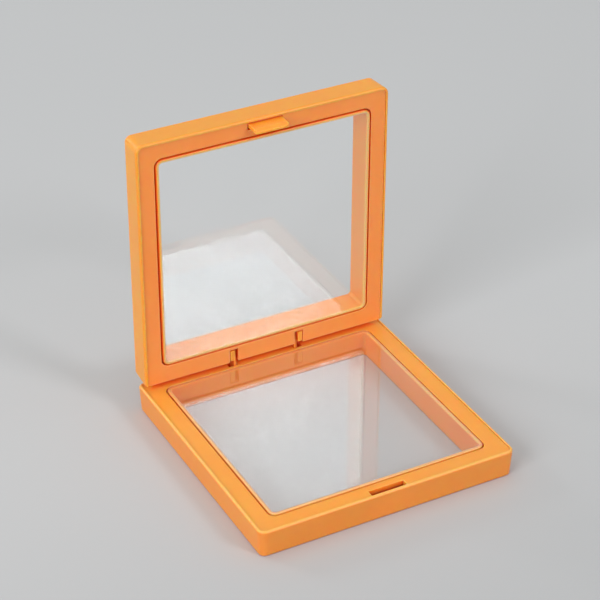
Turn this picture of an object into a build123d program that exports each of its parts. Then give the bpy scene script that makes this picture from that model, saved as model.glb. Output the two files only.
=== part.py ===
from build123d import *
import os

# Display box with two hinged frames, each with a clear film stretched over its window.
# All sizes are in millimetres. The base lies on z = 0 and the lid stands open behind it.
# The origin is on the underside of the base, straight below the middle of the hinge axis.
# X runs along the hinge axis, and Y points away from the latch.
# "Inset" is a distance in from a half's outer edge, measured at its mating face. At the base's
# two sides, base_side_extra comes on top of the insets of its window and pegs.

# Outer form of the halves
lid_width = 90.0
base_width = 91.1
base_side_extra = 0.55  # the base's frame is wider than the lid's by this at each side
box_depth = 90.0
half_height = 9.7
latch_corner_radius = 2.8
base_hinge_corner_radius = 2.4
lid_hinge_corner_radius = 1.4
least_radius = 0.3
wall_draft = 3.5  # degrees, all outer walls lean in towards the back of the half
rim_round = 0.8
back_round = 0.7

# Walls of the shells
rim_width = 0.9  # the rim runs round three sides, and the hinge side has none
wall_thickness = 1.25
back_thickness = 1.2
window_inset = 7.9
window_corner_radius = 1.2
window_back_round = 0.5
lip_width = 1.1
lip_round = 0.3
clamp_wall = 1.9  # the window's wall below the lip

# Film
film_thickness = 0.12
film_drop = 0.05  # film surface below the rim

# Face plate
plate_drop = 0.4  # plate surface below the rim
plate_thickness = 1.5
plate_seam = 0.1
plate_edge_round = 0.15
plate_hinge_inset = 0.25
plate_hinge_corner_radius = 0.8
film_gap = 0.55  # open groove between the plate and the lip
peg_radius = 0.75
peg_length = 4.0
peg_clearance = 0.03
peg_end_gap = 0.5
boss_radius = 1.6
peg_spread = 24.0  # pegs beside the latch and the hinge, from the middle of the side

# Hinge
hinge_inset = 2.55
hinge_depth = 3.7  # axis below the lid's mating face
parting_gap = 0.3  # between the mating faces when the box is closed
ear_offset = 11.0  # inner face of each ear, from the middle of the box
ear_thickness = 0.9
ear_radius = 1.9
ear_foot_reach = 0.45  # the foot stands out in front of the round head
ear_flex_gap = 0.4  # room for an ear to bend inwards as the lid snaps on
stub_radius = 0.8
stub_clearance = 0.05
side_gap = 0.15
lug_thickness = 1.5
lug_length = 4.6  # from the lid's hinge-side edge
lug_slit = 0.35
notch_depth = 5.2
stop_gap = 0.1  # between an ear's back and the end of its slot, with the lid open
slot_wall = 1.0

# Latch
tongue_width = 11.8
tongue_thickness = 1.2
tongue_inset = 1.7
tongue_reach = 5.1  # out of the lid's mating face
tongue_bevel = 0.5
tongue_bevel_length = 1.5
tongue_corner_radius = 1.0
slot_side_gap = 0.35
slot_outer_gap = 0.3
slot_inner_gap = 0.9

# Worked out from the sizes above
axis_height = half_height + parting_gap + hinge_depth
seat_depth = plate_drop + plate_thickness
lip_top = film_drop + film_thickness
lip_inset = window_inset - lip_width
plate_inner_inset = lip_inset - film_gap
clamp_inset = window_inset - clamp_wall
boss_inset = (wall_thickness + clamp_inset) / 2
channel_depth = half_height - seat_depth - back_thickness
ear_outer = ear_offset + ear_thickness
lug_inner = ear_outer + side_gap
lug_outer = lug_inner + lug_thickness
notch_inner = ear_offset - ear_flex_gap
notch_outer = lug_outer + lug_slit
ear_slot_end = hinge_depth + ear_radius + stop_gap
slot_inset = tongue_inset - slot_outer_gap
slot_height = slot_outer_gap + tongue_thickness + slot_inner_gap

# The mating face of each half: local Z points out of it, and local Y to the hinge side
base_face = Plane(
    origin=(0, hinge_inset - box_depth / 2, half_height),
    x_dir=(1, 0, 0),
    z_dir=(0, 0, 1),
)
lid_face = Plane(
    origin=(0, -hinge_depth, axis_height - hinge_inset + box_depth / 2),
    x_dir=(-1, 0, 0),
    z_dir=(0, -1, 0),
)


def round_corners(latch_radius, hinge_radius):
    """Rounds the corners of the rectangle just drawn, at the latch side and the hinge side."""
    fillet(vertices().sort_by(Axis.Y)[:2], max(latch_radius, least_radius))
    fillet(vertices().sort_by(Axis.Y)[-2:], max(hinge_radius, least_radius))


def outer_outline(half, inset):
    """Draws a half's outline, moved in by the inset."""
    Rectangle(half["width"] - 2 * inset, box_depth - 2 * inset)
    round_corners(latch_corner_radius - inset, half["hinge_corner_radius"] - inset)


def plate_outline(half):
    """Draws the face plate's outline: inside the rim, and out to the wall at the hinge side."""
    inset = rim_width + plate_seam
    length = box_depth - inset - plate_hinge_inset
    with Locations((0, (inset - plate_hinge_inset) / 2)):
        Rectangle(half["width"] - 2 * inset, length)
    round_corners(latch_corner_radius - inset, plate_hinge_corner_radius)


def window_outline(half, inset, mode=Mode.ADD):
    """Draws a half's window outline, moved out to the inset, with concentric corners."""
    radius = window_corner_radius + window_inset - inset
    RectangleRounded(half["frame_width"] - 2 * inset, box_depth - 2 * inset, radius, mode=mode)


base = {
    "face": base_face,
    "width": base_width,
    "frame_width": base_width - 2 * base_side_extra,
    "hinge_corner_radius": base_hinge_corner_radius,
}
lid = {
    "face": lid_face,
    "width": lid_width,
    "frame_width": lid_width,
    "hinge_corner_radius": lid_hinge_corner_radius,
}


def outward(face):
    """The direction out of a mating face, for picking faces and edges."""
    return Axis(face.origin, face.z_dir)


def peg_places(half):
    """Centres of a half's pegs, between its outer wall and its window's wall."""
    x = half["frame_width"] / 2 - boss_inset
    y = box_depth / 2 - boss_inset
    corners = [(i * x, j * y) for i in (-1, 1) for j in (-1, 1)]
    ends = [(i * peg_spread, j * y) for i in (-1, 1) for j in (-1, 1)]
    sides = [(-x, 0), (x, 0)]
    return corners + ends + sides


def add_tray(half):
    """Adds the moulding that both halves share: walls, back, window wall, lip and bosses."""
    face = half["face"]
    out = outward(face)
    with BuildSketch(face) as outside:
        outer_outline(half, 0)
    extrude(outside.sketch, amount=-half_height, taper=wall_draft)
    fillet(faces().sort_by(out)[-1].edges(), rim_round)
    fillet(faces().sort_by(out)[0].edges(), back_round)

    with BuildSketch(face) as seat:
        outer_outline(half, rim_width)
        with Locations((0, box_depth / 2)):
            Rectangle(half["width"] - 2 * rim_width, 4 * rim_width)
    extrude(seat.sketch, amount=-seat_depth, mode=Mode.SUBTRACT)
    with BuildSketch(face.offset(-seat_depth)) as channel:
        outer_outline(half, wall_thickness)
    extrude(channel.sketch, amount=-channel_depth, taper=wall_draft, mode=Mode.SUBTRACT)

    with BuildSketch(face.offset(-half_height)) as window_wall:
        window_outline(half, clamp_inset)
    extrude(window_wall.sketch, amount=half_height - seat_depth - film_thickness)
    with BuildSketch(face.offset(-half_height)) as lip:
        window_outline(half, lip_inset)
    extrude(lip.sketch, amount=half_height - lip_top)
    with BuildSketch(face) as window:
        window_outline(half, window_inset)
    extrude(window.sketch, amount=-half_height, mode=Mode.SUBTRACT)
    fillet(faces().sort_by(out)[0].inner_wires()[0].edges(), window_back_round)
    lip_face = [f for f in faces() if abs(face.to_local_coords(f.center()).Z + lip_top) < 0.01]
    fillet(lip_face[0].edges(), lip_round)


def add_bosses(half):
    """Adds the bosses that take the face plate's pegs."""
    face = half["face"]
    with BuildSketch(face.offset(-seat_depth)) as bosses:
        with Locations(*peg_places(half)):
            Circle(boss_radius)
    extrude(bosses.sketch, amount=-channel_depth)
    with BuildSketch(face.offset(-seat_depth)) as bores:
        with Locations(*peg_places(half)):
            Circle(peg_radius + peg_clearance)
    extrude(bores.sketch, amount=-(peg_length + peg_end_gap), mode=Mode.SUBTRACT)


def both_sides(inner, outer):
    """X ranges of a hinge feature left and right of the middle."""
    return [(-outer, -inner), (inner, outer)]


def add_ears():
    """Adds the base's two ears, with the pivot holes for the lid's stubs."""
    foot = -(ear_radius + ear_foot_reach)
    for start, end in both_sides(ear_offset, ear_outer):
        with BuildSketch(Plane.YZ.offset(start)) as ear:
            Polygon(
                (ear_radius, back_thickness / 2),
                (ear_radius, axis_height),
                (-ear_radius, axis_height),
                (foot, half_height - plate_drop),
                (foot, back_thickness / 2),
                align=None,
            )
            with Locations((0, axis_height)):
                Circle(ear_radius)
                Circle(stub_radius + stub_clearance, mode=Mode.SUBTRACT)
        extrude(ear.sketch, amount=end - start)


def box_on_lid(x_range, v_range, w_range, mode=Mode.ADD):
    """Adds or cuts a block in the lid.

    v is measured from the lid's hinge-side edge, and w is the depth below its mating face.
    """
    width = x_range[1] - x_range[0]
    length = v_range[1] - v_range[0]
    middle = (x_range[0] + x_range[1]) / 2
    along = box_depth / 2 - (v_range[0] + v_range[1]) / 2
    with BuildSketch(lid_face.offset(-w_range[0])) as block:
        with Locations((middle, along)):
            Rectangle(width, length)
    extrude(block.sketch, amount=w_range[0] - w_range[1], mode=mode)


def add_lugs():
    """Adds the lid's two lugs with their stubs, and the slots that the base's ears stand in."""
    floor = half_height - back_thickness / 2
    inner_wall = notch_inner - slot_wall
    for start, end in both_sides(inner_wall, lug_outer):
        box_on_lid((start, end), (rim_width, clamp_inset), (ear_slot_end, ear_slot_end + slot_wall))
    for start, end in both_sides(inner_wall, notch_inner):
        box_on_lid((start, end), (rim_width, clamp_inset), (seat_depth, ear_slot_end))
    for start, end in both_sides(lug_inner, lug_outer):
        box_on_lid((start, end), (rim_width, lug_length), (plate_drop, floor))
    for start, end in both_sides(notch_inner, lug_inner):
        box_on_lid((start, end), (-1, notch_depth), (-1, ear_slot_end), mode=Mode.SUBTRACT)
    for start, end in both_sides(ear_offset, lug_inner):
        with BuildSketch(Plane.YZ.offset(start)) as stub:
            with Locations((0, axis_height)):
                Circle(stub_radius)
        extrude(stub.sketch, amount=end - start)


def add_tongue():
    """Adds the latch tongue, a long springy blade from the lid's back out through the plate."""
    root = lid_face.origin.Y + half_height - back_thickness / 2
    tip = lid_face.origin.Y - tongue_reach
    top = lid_face.origin.Z + box_depth / 2 - tongue_inset
    with BuildSketch(Plane.YZ.offset(-tongue_width / 2)) as blade:
        Polygon(
            (root, top),
            (root, top - tongue_thickness),
            (tip, top - tongue_thickness),
            (tip, top - tongue_bevel),
            (tip + tongue_bevel_length, top),
            align=None,
        )
    extrude(blade.sketch, amount=tongue_width)
    tip_corners = edges().filter_by(Axis.Z).sort_by(Axis.Y)[:2]
    fillet(tip_corners, tongue_corner_radius)


def cut_hinge_notches(face):
    """Cuts the two notches of a face plate, open to its hinge-side edge."""
    width = notch_outer - notch_inner
    middle = (notch_outer + notch_inner) / 2
    with BuildSketch(face) as notches:
        with Locations((-middle, box_depth / 2), (middle, box_depth / 2)):
            Rectangle(width, notch_depth, align=(Align.CENTER, Align.MAX))
    extrude(notches.sketch, amount=-seat_depth, mode=Mode.SUBTRACT)


def cut_latch_slot(face):
    """Cuts the slot of a face plate that the latch tongue passes."""
    along = slot_inset + slot_height / 2 - box_depth / 2
    with BuildSketch(face) as slot:
        with Locations((0, along)):
            Rectangle(tongue_width + 2 * slot_side_gap, slot_height)
    extrude(slot.sketch, amount=-seat_depth, mode=Mode.SUBTRACT)


def add_plate(half):
    """Adds the flat frame with its pegs, hinge notches and latch slot."""
    face = half["face"]
    out = outward(face)
    with BuildSketch(face.offset(-plate_drop)) as frame:
        plate_outline(half)
        window_outline(half, plate_inner_inset, mode=Mode.SUBTRACT)
    extrude(frame.sketch, amount=-plate_thickness)
    fillet(faces().sort_by(out)[-1].edges(), plate_edge_round)
    cut_hinge_notches(face)
    cut_latch_slot(face)
    with BuildSketch(face.offset(-seat_depth)) as pegs:
        with Locations(*peg_places(half)):
            Circle(peg_radius)
    extrude(pegs.sketch, amount=-peg_length)


def add_film(half):
    """Adds the film: flat over the window, down round the lip, and clamped under the plate."""
    face = half["face"]
    out = outward(face)
    with BuildSketch(face.offset(-seat_depth)) as cover:
        window_outline(half, lip_inset - film_thickness)
    extrude(cover.sketch, amount=seat_depth - film_drop)
    fillet(faces().sort_by(out)[-1].edges(), lip_round + film_thickness)
    offset(amount=-film_thickness, openings=faces().sort_by(out)[0])
    with BuildSketch(face.offset(-seat_depth)) as hem:
        window_outline(half, clamp_inset)
        window_outline(half, lip_inset, mode=Mode.SUBTRACT)
    extrude(hem.sketch, amount=-film_thickness)


with BuildPart() as base_shell:
    add_tray(base)
    add_bosses(base)
    add_ears()

with BuildPart() as base_face_plate:
    add_plate(base)

with BuildPart() as base_film:
    add_film(base)

with BuildPart() as lid_shell:
    add_tray(lid)
    add_bosses(lid)
    add_lugs()
    add_tongue()

with BuildPart() as lid_face_plate:
    add_plate(lid)

with BuildPart() as lid_film:
    add_film(lid)

os.makedirs("parts", exist_ok=True)
pieces = {
    "base_shell": base_shell,
    "base_face_plate": base_face_plate,
    "base_film": base_film,
    "lid_shell": lid_shell,
    "lid_face_plate": lid_face_plate,
    "lid_film": lid_film,
}
for name, piece in pieces.items():
    piece.part.label = name
    export_step(piece.part, f"parts/{name}.step")
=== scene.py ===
import math

import bpy
from mathutils import Matrix, Vector

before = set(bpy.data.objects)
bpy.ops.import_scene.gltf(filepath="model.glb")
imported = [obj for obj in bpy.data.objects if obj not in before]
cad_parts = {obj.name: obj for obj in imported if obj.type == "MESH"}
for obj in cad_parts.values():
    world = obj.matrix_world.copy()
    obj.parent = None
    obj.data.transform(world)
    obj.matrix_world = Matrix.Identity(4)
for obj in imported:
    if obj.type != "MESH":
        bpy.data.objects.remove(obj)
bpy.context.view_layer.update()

MM = 0.001
scene = bpy.context.scene

# The camera's view, solved from the box's straight edges. The angles are in degrees. The target is
# a point inside the open box, and the camera stands off it by the three distances.
AZIMUTH, ELEVATION, ROLL = -28.1445, 32.4388, 0.1703
TARGET = Vector((0.0, -0.04245, 0.027))
SIDEWAYS, UPWARDS, DISTANCE = -0.007218, 0.023038, 0.666772
LENS, SENSOR = 125.0884, 36.0
CLIP_START, CLIP_END = 0.01, 100.0

# The box's geometry, which the looks follow. Each half has a square window with round corners.
# Distances across a half start at its window's middle, and heights start at the half's own back.
WINDOW_HALF = 37.1 * MM
WINDOW_CORNER = 1.2 * MM
LIP_EDGE = WINDOW_HALF + 1.1 * MM
GROOVE_EDGE = LIP_EDGE + 0.6 * MM
SEAM_START = 43.6 * MM
RIM_START = 43.8 * MM
FACE_HEIGHT = 9.7 * MM
BASE_MIDDLE_Y = -42.45 * MM
LID_MIDDLE_Z = 56.15 * MM
LID_BACK_Y = 6.0 * MM

# Colours of the plastic: its two tones, its edge wear with a painted highlight, which the base's rim
# also gets, the painted highlight on its lip, and the painted deep red shade in its narrow gaps.
ORANGE = (0.985, 0.306, 0.032)
ORANGE_DEEP = (0.970, 0.288, 0.027)
ORANGE_EDGE_WEAR_AND_HIGHLIGHT = (1.0, 0.640, 0.150)
ORANGE_LIP_HIGHLIGHT = (1.0, 0.480, 0.085)
ORANGE_PAINTED_GAP_SHADE = (1.0, 0.130, 0.006)

# In each half: how far past the lip's edge its painted highlight and the calm of the groove's
# painted red shade end, how much painted red shade the groove has, and how much of the painted
# highlight the lip has at the hinge side.
LIP_HIGHLIGHT_REACH = {"base": 0.15 * MM, "lid": -0.25 * MM}
FLANK_SHADE = {"base": 0.15 * MM, "lid": 0.05 * MM}
GROOVE_SHADE = {"base": 0.3, "lid": 1.0}
HINGE_LIP_HIGHLIGHT = {"base": 0.15, "lid": 1.0}
# The seam beside the rim has hardly any painted red shade in either half.
SEAM_SHADE = 0.1

# Noise patterns: scale per metre, detail and roughness.
CLOUDS = (45.0, 3.0, 0.6)
MOTTLE = (420.0, 2.0, 0.5)
GRAIN = (3800.0, 2.0, 0.6)
SCUFFS = (150.0, 5.0, 0.7)
RIPPLES = (170.0, 1.5, 0.4)
SWELL = (22.0, 1.0, 0.4)
SMEARS = (60.0, 3.0, 0.6)
DUST = (900.0, 2.0, 0.7)
VEIL = (35.0, 3.0, 0.6)
FLOOR_CLOUDS = (1.3, 2.0, 0.5)
# The part of a noise's range that is spread over the whole change that it makes.
NOISE_SPREAD = (0.3, 0.7)
TONE_NOISE = (0.35, 0.65)
SMEAR_NOISE = (0.35, 0.7)
SCUFF_NOISE = (0.56, 0.74)
DUST_NOISE = (0.70, 0.82)
WEAR_AND_HIGHLIGHT_NOISE = (0.4, 0.62)

# The plastic's two tones follow a blend of its clouds and its mottle.
CLOUD_SHARE, MOTTLE_SHARE = 0.75, 0.25
# The plastic's body.
PLASTIC_IOR = 1.5
SUBSURFACE_WEIGHT = 0.8
SUBSURFACE_RADIUS = (1.0, 0.14, 0.025)
# An edge with wear and a painted highlight is where the normal, rounded over this radius, turns away
# from the face's own: by these cosines for none of it and for all of it. The mottle then varies the
# wear and the painted highlight between two shares.
EDGE_RADIUS = 0.5 * MM
EDGE_TURN = (0.985, 0.90)
WEAR_AND_HIGHLIGHT = (0.35, 0.8)
# A narrow gap sees little of the sky within this distance: these shares of it for no painted red
# shade and for all of it.
CREVICE_DISTANCE = 7.0 * MM
CREVICE_SKY = (0.50, 0.12)
# On the window's wall under the film the painted red shade fades out upwards between these heights.
WALL_FADE = (3.5 * MM, 7.0 * MM)
# What the scuffs and the wear add to the roughness, and how far the clouds move it down and up.
SCUFF_ROUGHNESS = 0.08
WEAR_ROUGHNESS = 0.06
SMOOTHER, ROUGHER = 0.03, 0.04
# The skin's fine relief.
GRAIN_DEPTH, MOTTLE_DEPTH = 0.8, 1.6
PLASTIC_BUMP_STRENGTH = 0.22
PLASTIC_BUMP_DISTANCE = 0.012 * MM

# The film's tints as a mirror, as a clear sheet and as haze, which also paints a highlight over the
# lip, and the share of it that mirrors when it is seen head-on. At a grazing view it mirrors more, by
# a power of how far it turns away.
FILM_GLOSS = (0.965, 1.0, 1.0, 1.0)
FILM_CLEAR = (0.998, 1.0, 1.0, 1.0)
FILM_HAZE_AND_HIGHLIGHT = (0.95, 0.96, 0.98, 1.0)
SHINE_HEAD_ON = 0.047
SHINE_GRAZING = 0.88
SHINE_POWER = 4.0
# Over the lip it mirrors a little more head-on, but stays this far from a full mirror at a grazing
# view. The hem loses most of its shine.
LIP_SHINE = 0.06
LIP_SHINE_CUT = 0.7
HEM_SHINE_CUT = 0.85
# The roughness of its smears, and what the stretch over the lip adds.
FILM_ROUGHNESS = (0.03, 0.08)
LIP_ROUGHNESS = 0.27
# The shares of haze: specks of dust, the unevenness of the veil, and a painted highlight over the
# lip.
DUST_HAZE = 0.10
VEIL_SPREAD = 0.008
LIP_HIGHLIGHT_HAZE = 0.03
# The relief: how deep, how far in from the window's edge it ripples, and what is left of the
# ripples past that edge and on the sides away from the hinge.
SWELL_DEPTH, RIPPLE_DEPTH = 0.02, 0.8
RIPPLE_BAND = 3.0 * MM
RIPPLES_PAST_EDGE = 0.25
RIPPLES_OFF_HINGE = 0.12
FILM_BUMP_DISTANCE = 0.10 * MM

FLOOR_HALF = 6.0
FLOOR_DROP = 0.02 * MM
FLOOR_TONES = ((0.478, 0.477, 0.487, 1), (0.496, 0.495, 0.505, 1))
FLOOR_NEAR_SHADE = 0.17
FLOOR_NEAR_Y, FLOOR_FAR_Y = -0.20, 0.02
FLOOR_ROUGHNESS = 0.7
FLOOR_SPECULAR = 0.25
BLACK = (0.0, 0.0, 0.0, 1.0)

# The softboxes face this point from this distance.
MIDDLE = Vector((0.0, -0.040, 0.040))
LAMP_DISTANCE = 2.4
CORE_DISTANCE = 2.38
COOL_WHITE = (0.98, 0.99, 1.0)
WORLD_COLOUR = (0.96, 0.98, 1.0, 1.0)
WORLD_STRENGTH = 0.60


def add_camera():
    az, el, roll = (math.radians(v) for v in (AZIMUTH, ELEVATION, ROLL))
    back = Vector((math.sin(az) * math.cos(el), -math.cos(az) * math.cos(el), math.sin(el)))
    right = Vector((math.cos(az), math.sin(az), 0.0))
    up = back.cross(right)
    right, up = (
        right * math.cos(roll) + up * math.sin(roll),
        up * math.cos(roll) - right * math.sin(roll),
    )
    data = bpy.data.cameras.new("camera")
    data.lens = LENS
    data.sensor_width = SENSOR
    data.clip_start = CLIP_START
    data.clip_end = CLIP_END
    cam = bpy.data.objects.new("camera", data)
    scene.collection.objects.link(cam)
    place = TARGET + right * SIDEWAYS + up * UPWARDS + back * DISTANCE
    cam.matrix_world = Matrix((
        (right.x, up.x, back.x, place.x),
        (right.y, up.y, back.y, place.y),
        (right.z, up.z, back.z, place.z),
        (0, 0, 0, 1),
    ))
    scene.camera = cam


def new_material(name):
    mat = bpy.data.materials.new(name)
    mat.use_nodes = True
    nt = mat.node_tree
    nt.nodes.clear()
    return mat, nt


def add(nt, kind, **settings):
    node = nt.nodes.new(kind)
    for key, value in settings.items():
        setattr(node, key, value)
    return node


def put(nt, value, socket):
    """Links an output to a socket, or sets the socket's own value."""
    if isinstance(value, bpy.types.NodeSocket):
        nt.links.new(value, socket)
    else:
        socket.default_value = value


def calc(nt, operation, *values):
    node = add(nt, "ShaderNodeMath", operation=operation)
    for value, socket in zip(values, node.inputs):
        put(nt, value, socket)
    return node.outputs[0]


def ramp(nt, value, low, high, to_low, to_high):
    """Maps a value smoothly from one range to another, clamped."""
    node = add(nt, "ShaderNodeMapRange", interpolation_type="SMOOTHSTEP")
    for v, socket in zip((value, low, high, to_low, to_high), node.inputs):
        put(nt, v, socket)
    return node.outputs[0]


def noise(nt, place, scale, detail, rough):
    node = add(nt, "ShaderNodeTexNoise")
    put(nt, place, node.inputs["Vector"])
    node.inputs["Scale"].default_value = scale
    node.inputs["Detail"].default_value = detail
    node.inputs["Roughness"].default_value = rough
    return node.outputs["Fac"]


def mix_colour(nt, fac, a, b):
    node = add(nt, "ShaderNodeMix", data_type="RGBA")
    put(nt, fac, node.inputs[0])
    put(nt, a, node.inputs[6])
    put(nt, b, node.inputs[7])
    return node.outputs[2]


def mix_shader(nt, fac, a, b):
    node = add(nt, "ShaderNodeMixShader")
    put(nt, fac, node.inputs[0])
    put(nt, a.outputs[0], node.inputs[1])
    put(nt, b.outputs[0], node.inputs[2])
    return node


def add_bump(nt, relief, strength, distance):
    node = add(nt, "ShaderNodeBump")
    node.inputs["Strength"].default_value = strength
    node.inputs["Distance"].default_value = distance
    put(nt, relief, node.inputs["Height"])
    return node.outputs[0]


def finish_material(nt, shader):
    out = add(nt, "ShaderNodeOutputMaterial")
    put(nt, shader.outputs[0], out.inputs["Surface"])


def places(nt, shift):
    """Object coordinates in metres, moved so that no two parts show the same pattern."""
    coords = add(nt, "ShaderNodeTexCoord").outputs["Object"]
    node = add(nt, "ShaderNodeMapping")
    put(nt, coords, node.inputs["Vector"])
    node.inputs["Location"].default_value = (shift, shift * 0.7, -shift * 0.4)
    return node.outputs["Vector"]


def half_places(nt, half):
    """Places in a half: the distance from the window's middle, measured square with round corners,
    the distance from its middle towards the hinge side, and the height over the half's back."""
    coords = add(nt, "ShaderNodeTexCoord").outputs["Object"]
    split = add(nt, "ShaderNodeSeparateXYZ")
    put(nt, coords, split.inputs[0])
    if half == "base":
        along = calc(nt, "SUBTRACT", split.outputs["Y"], BASE_MIDDLE_Y)
        height = split.outputs["Z"]
    else:
        along = calc(nt, "SUBTRACT", LID_MIDDLE_Z, split.outputs["Z"])
        height = calc(nt, "SUBTRACT", LID_BACK_Y, split.outputs["Y"])
    straight = WINDOW_HALF - WINDOW_CORNER
    outward = []
    for value in (split.outputs["X"], along):
        past = calc(nt, "SUBTRACT", calc(nt, "ABSOLUTE", value), straight)
        outward.append(calc(nt, "MAXIMUM", past, 0.0))
    squares = calc(nt, "ADD", *(calc(nt, "MULTIPLY", v, v) for v in outward))
    return calc(nt, "ADD", calc(nt, "SQRT", squares), straight), along, height


def edge_wear_and_highlight(nt, mottle):
    """Where the plastic has edge wear and a painted highlight: only where its surface turns sharply,
    and unevenly there.
    """
    bevel = add(nt, "ShaderNodeBevel", samples=4)
    bevel.inputs["Radius"].default_value = EDGE_RADIUS
    geometry = add(nt, "ShaderNodeNewGeometry")
    turned = add(nt, "ShaderNodeVectorMath", operation="DOT_PRODUCT")
    put(nt, bevel.outputs[0], turned.inputs[0])
    put(nt, geometry.outputs["Normal"], turned.inputs[1])
    edge = ramp(nt, turned.outputs["Value"], *EDGE_TURN, 0.0, 1.0)
    return calc(nt, "MULTIPLY", edge, ramp(nt, mottle, *WEAR_AND_HIGHLIGHT_NOISE, *WEAR_AND_HIGHLIGHT))


def painted_lip_highlight(nt, half, reach, along, height):
    """Painted highlight: how much paler the plastic is made on the window's lip, which the film is
    pulled tight over.
    """
    highlight_edge = LIP_EDGE + LIP_HIGHLIGHT_REACH[half]
    inside = ramp(nt, reach, highlight_edge, highlight_edge - 0.1 * MM, 0.0, 1.0)
    near_top = ramp(nt, height, FACE_HEIGHT - 0.9 * MM, FACE_HEIGHT - 0.5 * MM, 0.0, 1.0)
    on_lip = calc(nt, "MULTIPLY", inside, near_top)
    by_hinge = ramp(nt, along, WINDOW_HALF - 1.0 * MM, WINDOW_HALF, 1.0, HINGE_LIP_HIGHLIGHT[half])
    return calc(nt, "MULTIPLY", on_lip, by_hinge)


def painted_gap_shade(nt, half, reach, height):
    """Painted shade: how far the plastic's colour is turned deep red in a narrow gap, where light
    bounces about. The window's wall under the film has none of it but at its foot. The groove and the
    seam have less of it, as set above."""
    open_sky = add(nt, "ShaderNodeAmbientOcclusion", samples=8)
    open_sky.inputs["Distance"].default_value = CREVICE_DISTANCE
    gap_shade = ramp(nt, open_sky.outputs["AO"], *CREVICE_SKY, 0.0, 1.0)
    flank = LIP_EDGE + FLANK_SHADE[half]
    sheltered = ramp(nt, reach, flank, LIP_EDGE + LIP_HIGHLIGHT_REACH[half] - 0.1 * MM, 0.0, 1.0)
    under_film = calc(nt, "MULTIPLY", sheltered, ramp(nt, height, *WALL_FADE, 0.0, 1.0))
    gap_shade = calc(nt, "MULTIPLY", gap_shade, calc(nt, "SUBTRACT", 1.0, under_film))
    by_groove = ramp(nt, reach, GROOVE_EDGE, GROOVE_EDGE + 0.4 * MM, GROOVE_SHADE[half], 1.0)
    gap_shade = calc(nt, "MULTIPLY", gap_shade, by_groove)
    beyond = ramp(nt, reach, SEAM_START, SEAM_START + 0.3 * MM, 0.0, 1.0 - SEAM_SHADE)
    near_face = ramp(nt, height, FACE_HEIGHT - 1.6 * MM, FACE_HEIGHT - 1.2 * MM, 0.0, 1.0)
    by_seam = calc(nt, "MULTIPLY", beyond, near_face)
    return calc(nt, "MULTIPLY", gap_shade, calc(nt, "SUBTRACT", 1.0, by_seam))


def plastic(name, half, shift, roughness, glow, tint, rim_highlight_share=0.0):
    """Orange injection-moulded plastic: satin skin, faint flow clouds, scuffs, edge wear with a
    painted highlight, painted highlights on the lip and rim, and painted red shade in narrow gaps.

    The glow is how far red light spreads inside it. The tint multiplies all its colours but the
    painted red shade of its narrow gaps.
    """
    def tinted(colour):
        return tuple(min(1.0, c * t) for c, t in zip(colour, tint)) + (1.0,)

    mat, nt = new_material(name)
    where = places(nt, shift)
    clouds = noise(nt, where, *CLOUDS)
    mottle = noise(nt, where, *MOTTLE)
    grain = noise(nt, where, *GRAIN)
    scuffs = ramp(nt, noise(nt, where, *SCUFFS), *SCUFF_NOISE, 0.0, 1.0)

    shade = calc(nt, "ADD", calc(nt, "MULTIPLY", clouds, CLOUD_SHARE),
                 calc(nt, "MULTIPLY", mottle, MOTTLE_SHARE))
    tone = ramp(nt, shade, *TONE_NOISE, 0.0, 1.0)
    colour = mix_colour(nt, tone, tinted(ORANGE_DEEP), tinted(ORANGE))
    # Edge wear that also paints a highlight: a paler colour where the surface turns sharply.
    wear_and_highlight = edge_wear_and_highlight(nt, mottle)
    colour = mix_colour(nt, wear_and_highlight, colour, tinted(ORANGE_EDGE_WEAR_AND_HIGHLIGHT))

    reach, along, height = half_places(nt, half)
    # Painted highlight: the top of the rim is made paler, by the given share.
    rim_highlight = ramp(nt, reach, RIM_START, RIM_START + 0.2 * MM, 0.0, rim_highlight_share)
    rim_top = ramp(nt, height, FACE_HEIGHT - 0.5 * MM, FACE_HEIGHT - 0.2 * MM, 0.0, 1.0)
    colour = mix_colour(nt, calc(nt, "MULTIPLY", rim_highlight, rim_top), colour, tinted(ORANGE_EDGE_WEAR_AND_HIGHLIGHT))
    # Painted highlight: the window's lip is made paler.
    colour = mix_colour(nt, painted_lip_highlight(nt, half, reach, along, height), colour, tinted(ORANGE_LIP_HIGHLIGHT))
    # Painted shade: narrow gaps are turned deep red.
    colour = mix_colour(nt, painted_gap_shade(nt, half, reach, height), colour, ORANGE_PAINTED_GAP_SHADE + (1.0,))

    rough = ramp(nt, clouds, *NOISE_SPREAD, roughness - SMOOTHER, roughness + ROUGHER)
    rough = calc(nt, "ADD", rough, calc(nt, "MULTIPLY", scuffs, SCUFF_ROUGHNESS))
    rough = calc(nt, "ADD", rough, calc(nt, "MULTIPLY", wear_and_highlight, WEAR_ROUGHNESS))
    relief = calc(nt, "ADD", calc(nt, "MULTIPLY", grain, GRAIN_DEPTH),
                  calc(nt, "MULTIPLY", mottle, MOTTLE_DEPTH))

    shader = add(nt, "ShaderNodeBsdfPrincipled")
    put(nt, colour, shader.inputs["Base Color"])
    put(nt, rough, shader.inputs["Roughness"])
    bump = add_bump(nt, relief, PLASTIC_BUMP_STRENGTH, PLASTIC_BUMP_DISTANCE)
    put(nt, bump, shader.inputs["Normal"])
    shader.inputs["IOR"].default_value = PLASTIC_IOR
    shader.inputs["Subsurface Weight"].default_value = SUBSURFACE_WEIGHT
    shader.inputs["Subsurface Radius"].default_value = SUBSURFACE_RADIUS
    shader.inputs["Subsurface Scale"].default_value = glow
    finish_material(nt, shader)
    return mat


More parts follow.
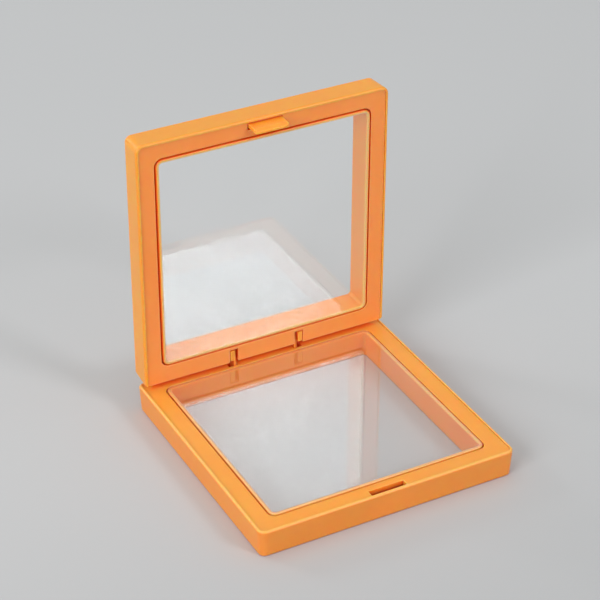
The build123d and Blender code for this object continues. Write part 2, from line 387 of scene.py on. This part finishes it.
def film_relief(nt, where, reach, along):
    """The film's unevenness: a faint swell, and ripples near the window's edge at the hinge side."""
    rises = ramp(nt, reach, WINDOW_HALF - RIPPLE_BAND, WINDOW_HALF, 0.0, 1.0)
    falls = ramp(nt, reach, WINDOW_HALF, WINDOW_HALF + 0.3 * MM, 1.0, RIPPLES_PAST_EDGE)
    hinge_side = ramp(nt, along, WINDOW_HALF - RIPPLE_BAND, WINDOW_HALF, RIPPLES_OFF_HINGE, 1.0)
    near_edge = calc(nt, "MULTIPLY", calc(nt, "MULTIPLY", rises, falls), hinge_side)
    ripples = calc(nt, "MULTIPLY", noise(nt, where, *RIPPLES), near_edge)
    swell = calc(nt, "MULTIPLY", noise(nt, where, *SWELL), SWELL_DEPTH)
    return calc(nt, "ADD", swell, calc(nt, "MULTIPLY", ripples, RIPPLE_DEPTH))


def film(name, half, shift, least_veil):
    """Clear elastic film: a mirror-like skin over full transparency, with a little haze and dust.

    Bent tight over the lip it shines more, and broadly, and a little white haze paints a highlight
    there. Its hem is pressed against the plastic, where it has hardly a shine of its own.
    """
    mat, nt = new_material(name)
    where = places(nt, shift)
    reach, along, _ = half_places(nt, half)
    highlight_edge = LIP_EDGE + LIP_HIGHLIGHT_REACH[half]
    hem = ramp(nt, reach, highlight_edge - 0.30 * MM, highlight_edge - 0.05 * MM, 0.0, 1.0)
    on_lip = ramp(nt, reach, WINDOW_HALF - 0.1 * MM, WINDOW_HALF + 0.15 * MM, 0.0, 1.0)

    facing = add(nt, "ShaderNodeLayerWeight")
    facing.inputs["Blend"].default_value = 0.5
    grazing = calc(nt, "POWER", facing.outputs["Facing"], SHINE_POWER)
    share = calc(nt, "ADD", calc(nt, "MULTIPLY", grazing, SHINE_GRAZING), SHINE_HEAD_ON)
    share = calc(nt, "ADD", share, calc(nt, "MULTIPLY", on_lip, LIP_SHINE))
    most = calc(nt, "SUBTRACT", 1.0, calc(nt, "MULTIPLY", on_lip, LIP_SHINE_CUT))
    share = calc(nt, "MINIMUM", share, most)
    left = calc(nt, "SUBTRACT", 1.0, calc(nt, "MULTIPLY", hem, HEM_SHINE_CUT))
    share = calc(nt, "MULTIPLY", share, left)

    gloss = add(nt, "ShaderNodeBsdfAnisotropic")
    gloss.inputs["Color"].default_value = FILM_GLOSS
    rough = ramp(nt, noise(nt, where, *SMEARS), *SMEAR_NOISE, *FILM_ROUGHNESS)
    rough = calc(nt, "ADD", rough, calc(nt, "MULTIPLY", on_lip, LIP_ROUGHNESS))
    put(nt, rough, gloss.inputs["Roughness"])
    relief = film_relief(nt, where, reach, along)
    put(nt, add_bump(nt, relief, 1.0, FILM_BUMP_DISTANCE), gloss.inputs["Normal"])
    clear = add(nt, "ShaderNodeBsdfTransparent")
    clear.inputs["Color"].default_value = FILM_CLEAR
    skin = mix_shader(nt, share, clear, gloss)

    haze = add(nt, "ShaderNodeBsdfDiffuse")
    haze.inputs["Color"].default_value = FILM_HAZE_AND_HIGHLIGHT
    dust = ramp(nt, noise(nt, where, *DUST), *DUST_NOISE, 0.0, DUST_HAZE)
    veil = noise(nt, where, *VEIL)
    veil = ramp(nt, veil, *NOISE_SPREAD, least_veil, least_veil + VEIL_SPREAD)
    # Painted highlight: a little white haze over the lip.
    lip_highlight_haze = calc(nt, "MULTIPLY", on_lip, LIP_HIGHLIGHT_HAZE)
    haze_and_lip_highlight = calc(nt, "ADD", calc(nt, "ADD", dust, veil), lip_highlight_haze)
    haze_and_lip_highlight = calc(nt, "MULTIPLY", haze_and_lip_highlight, calc(nt, "SUBTRACT", 1.0, hem))
    finish_material(nt, mix_shader(nt, haze_and_lip_highlight, skin, haze))
    return mat


def dress():
    """Gives every node its own material."""
    # Each part's tint gives its moulding its own shade, and also paints in part of the difference in
    # the light that falls on the parts.
    looks = {
        "base_shell": plastic(
            "orange_base_shell", "base", shift=0.31, roughness=0.36, glow=3.2 * MM,
            tint=(1.0, 0.93, 1.12), rim_highlight_share=0.4),
        "base_face_plate": plastic(
            "orange_base_plate", "base", shift=1.27, roughness=0.34, glow=3.2 * MM,
            tint=(0.93, 1.10, 1.5)),
        "lid_shell": plastic(
            "orange_lid_shell", "lid", shift=2.43, roughness=0.36, glow=3.2 * MM,
            tint=(1.0, 1.07, 0.88)),
        "lid_face_plate": plastic(
            "orange_lid_plate", "lid", shift=3.59, roughness=0.34, glow=2.0 * MM,
            tint=(0.975, 0.975, 1.95)),
        "base_film": film("clear_base_film", "base", shift=0.83, least_veil=0.005),
        "lid_film": film("clear_lid_film", "lid", shift=1.91, least_veil=0.020),
    }
    for name, mat in looks.items():
        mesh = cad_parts[name].data
        mesh.materials.clear()
        mesh.materials.append(mat)


def add_floor():
    """A pale floor with faint clouds, and painted shade that makes it a little darker in front of the
    box than behind it.
    """
    mesh = bpy.data.meshes.new("floor")
    s = FLOOR_HALF
    mesh.from_pydata([(-s, -s, 0), (s, -s, 0), (s, s, 0), (-s, s, 0)], [], [(0, 1, 2, 3)])
    floor = bpy.data.objects.new("floor", mesh)
    floor.location.z = -FLOOR_DROP
    scene.collection.objects.link(floor)
    mat, nt = new_material("floor")
    where = places(nt, 0.0)
    shader = add(nt, "ShaderNodeBsdfPrincipled")
    tone = ramp(nt, noise(nt, where, *FLOOR_CLOUDS), *NOISE_SPREAD, 0.0, 1.0)
    colour = mix_colour(nt, tone, *FLOOR_TONES)
    split = add(nt, "ShaderNodeSeparateXYZ")
    put(nt, where, split.inputs[0])
    fade = ramp(nt, split.outputs["Y"], FLOOR_NEAR_Y, FLOOR_FAR_Y, 0.0, 1.0)
    # Painted shade: the floor is made darker in front of the box.
    near = mix_colour(nt, FLOOR_NEAR_SHADE, colour, BLACK)
    put(nt, mix_colour(nt, fade, near, colour), shader.inputs["Base Color"])
    shader.inputs["Roughness"].default_value = FLOOR_ROUGHNESS
    shader.inputs["Specular IOR Level"].default_value = FLOOR_SPECULAR
    finish_material(nt, shader)
    mesh.materials.append(mat)


def add_softbox(
        name, direction, size, radiance, colour=(1, 1, 1), distance=LAMP_DISTANCE, shape="SQUARE"):
    """A flat lamp of the given radiance that faces the box."""
    data = bpy.data.lights.new(name, "AREA")
    data.shape = shape
    data.size = size
    data.energy = radiance * math.pi * size * size
    data.color = colour
    lamp = bpy.data.objects.new(name, data)
    way = Vector(direction).normalized()
    lamp.location = MIDDLE + way * distance
    lamp.rotation_euler = way.to_track_quat("Z", "Y").to_euler()
    scene.collection.objects.link(lamp)


def add_light():
    """Lamps and an even pale sky. The core hangs just in front of the front right softbox."""
    add_softbox("top", (-0.15, 0.1, 1.0), size=2.1, radiance=0.85, colour=(1.0, 1.06, 0.90))
    add_softbox("left", (-1.0, -0.45, 0.55), size=1.15, radiance=7.6)
    add_softbox("back_left", (-0.52, 0.744, 0.40), size=0.45, radiance=12.0)
    add_softbox(
        "front_right", (0.3742, -0.7372, 0.5638), size=0.58, radiance=14.5, colour=COOL_WHITE)
    add_softbox(
        "front_right_core", (0.3485, -0.7531, 0.5583), size=0.36, radiance=4.0, colour=COOL_WHITE,
        distance=CORE_DISTANCE, shape="DISK")
    world = bpy.data.worlds.new("world")
    world.use_nodes = True
    nt = world.node_tree
    nt.nodes.clear()
    back = add(nt, "ShaderNodeBackground")
    back.inputs["Color"].default_value = WORLD_COLOUR
    back.inputs["Strength"].default_value = WORLD_STRENGTH
    out = add(nt, "ShaderNodeOutputWorld")
    put(nt, back.outputs[0], out.inputs["Surface"])
    scene.world = world


add_camera()
dress()
add_floor()
add_light()
scene.view_settings.view_transform = "Standard"
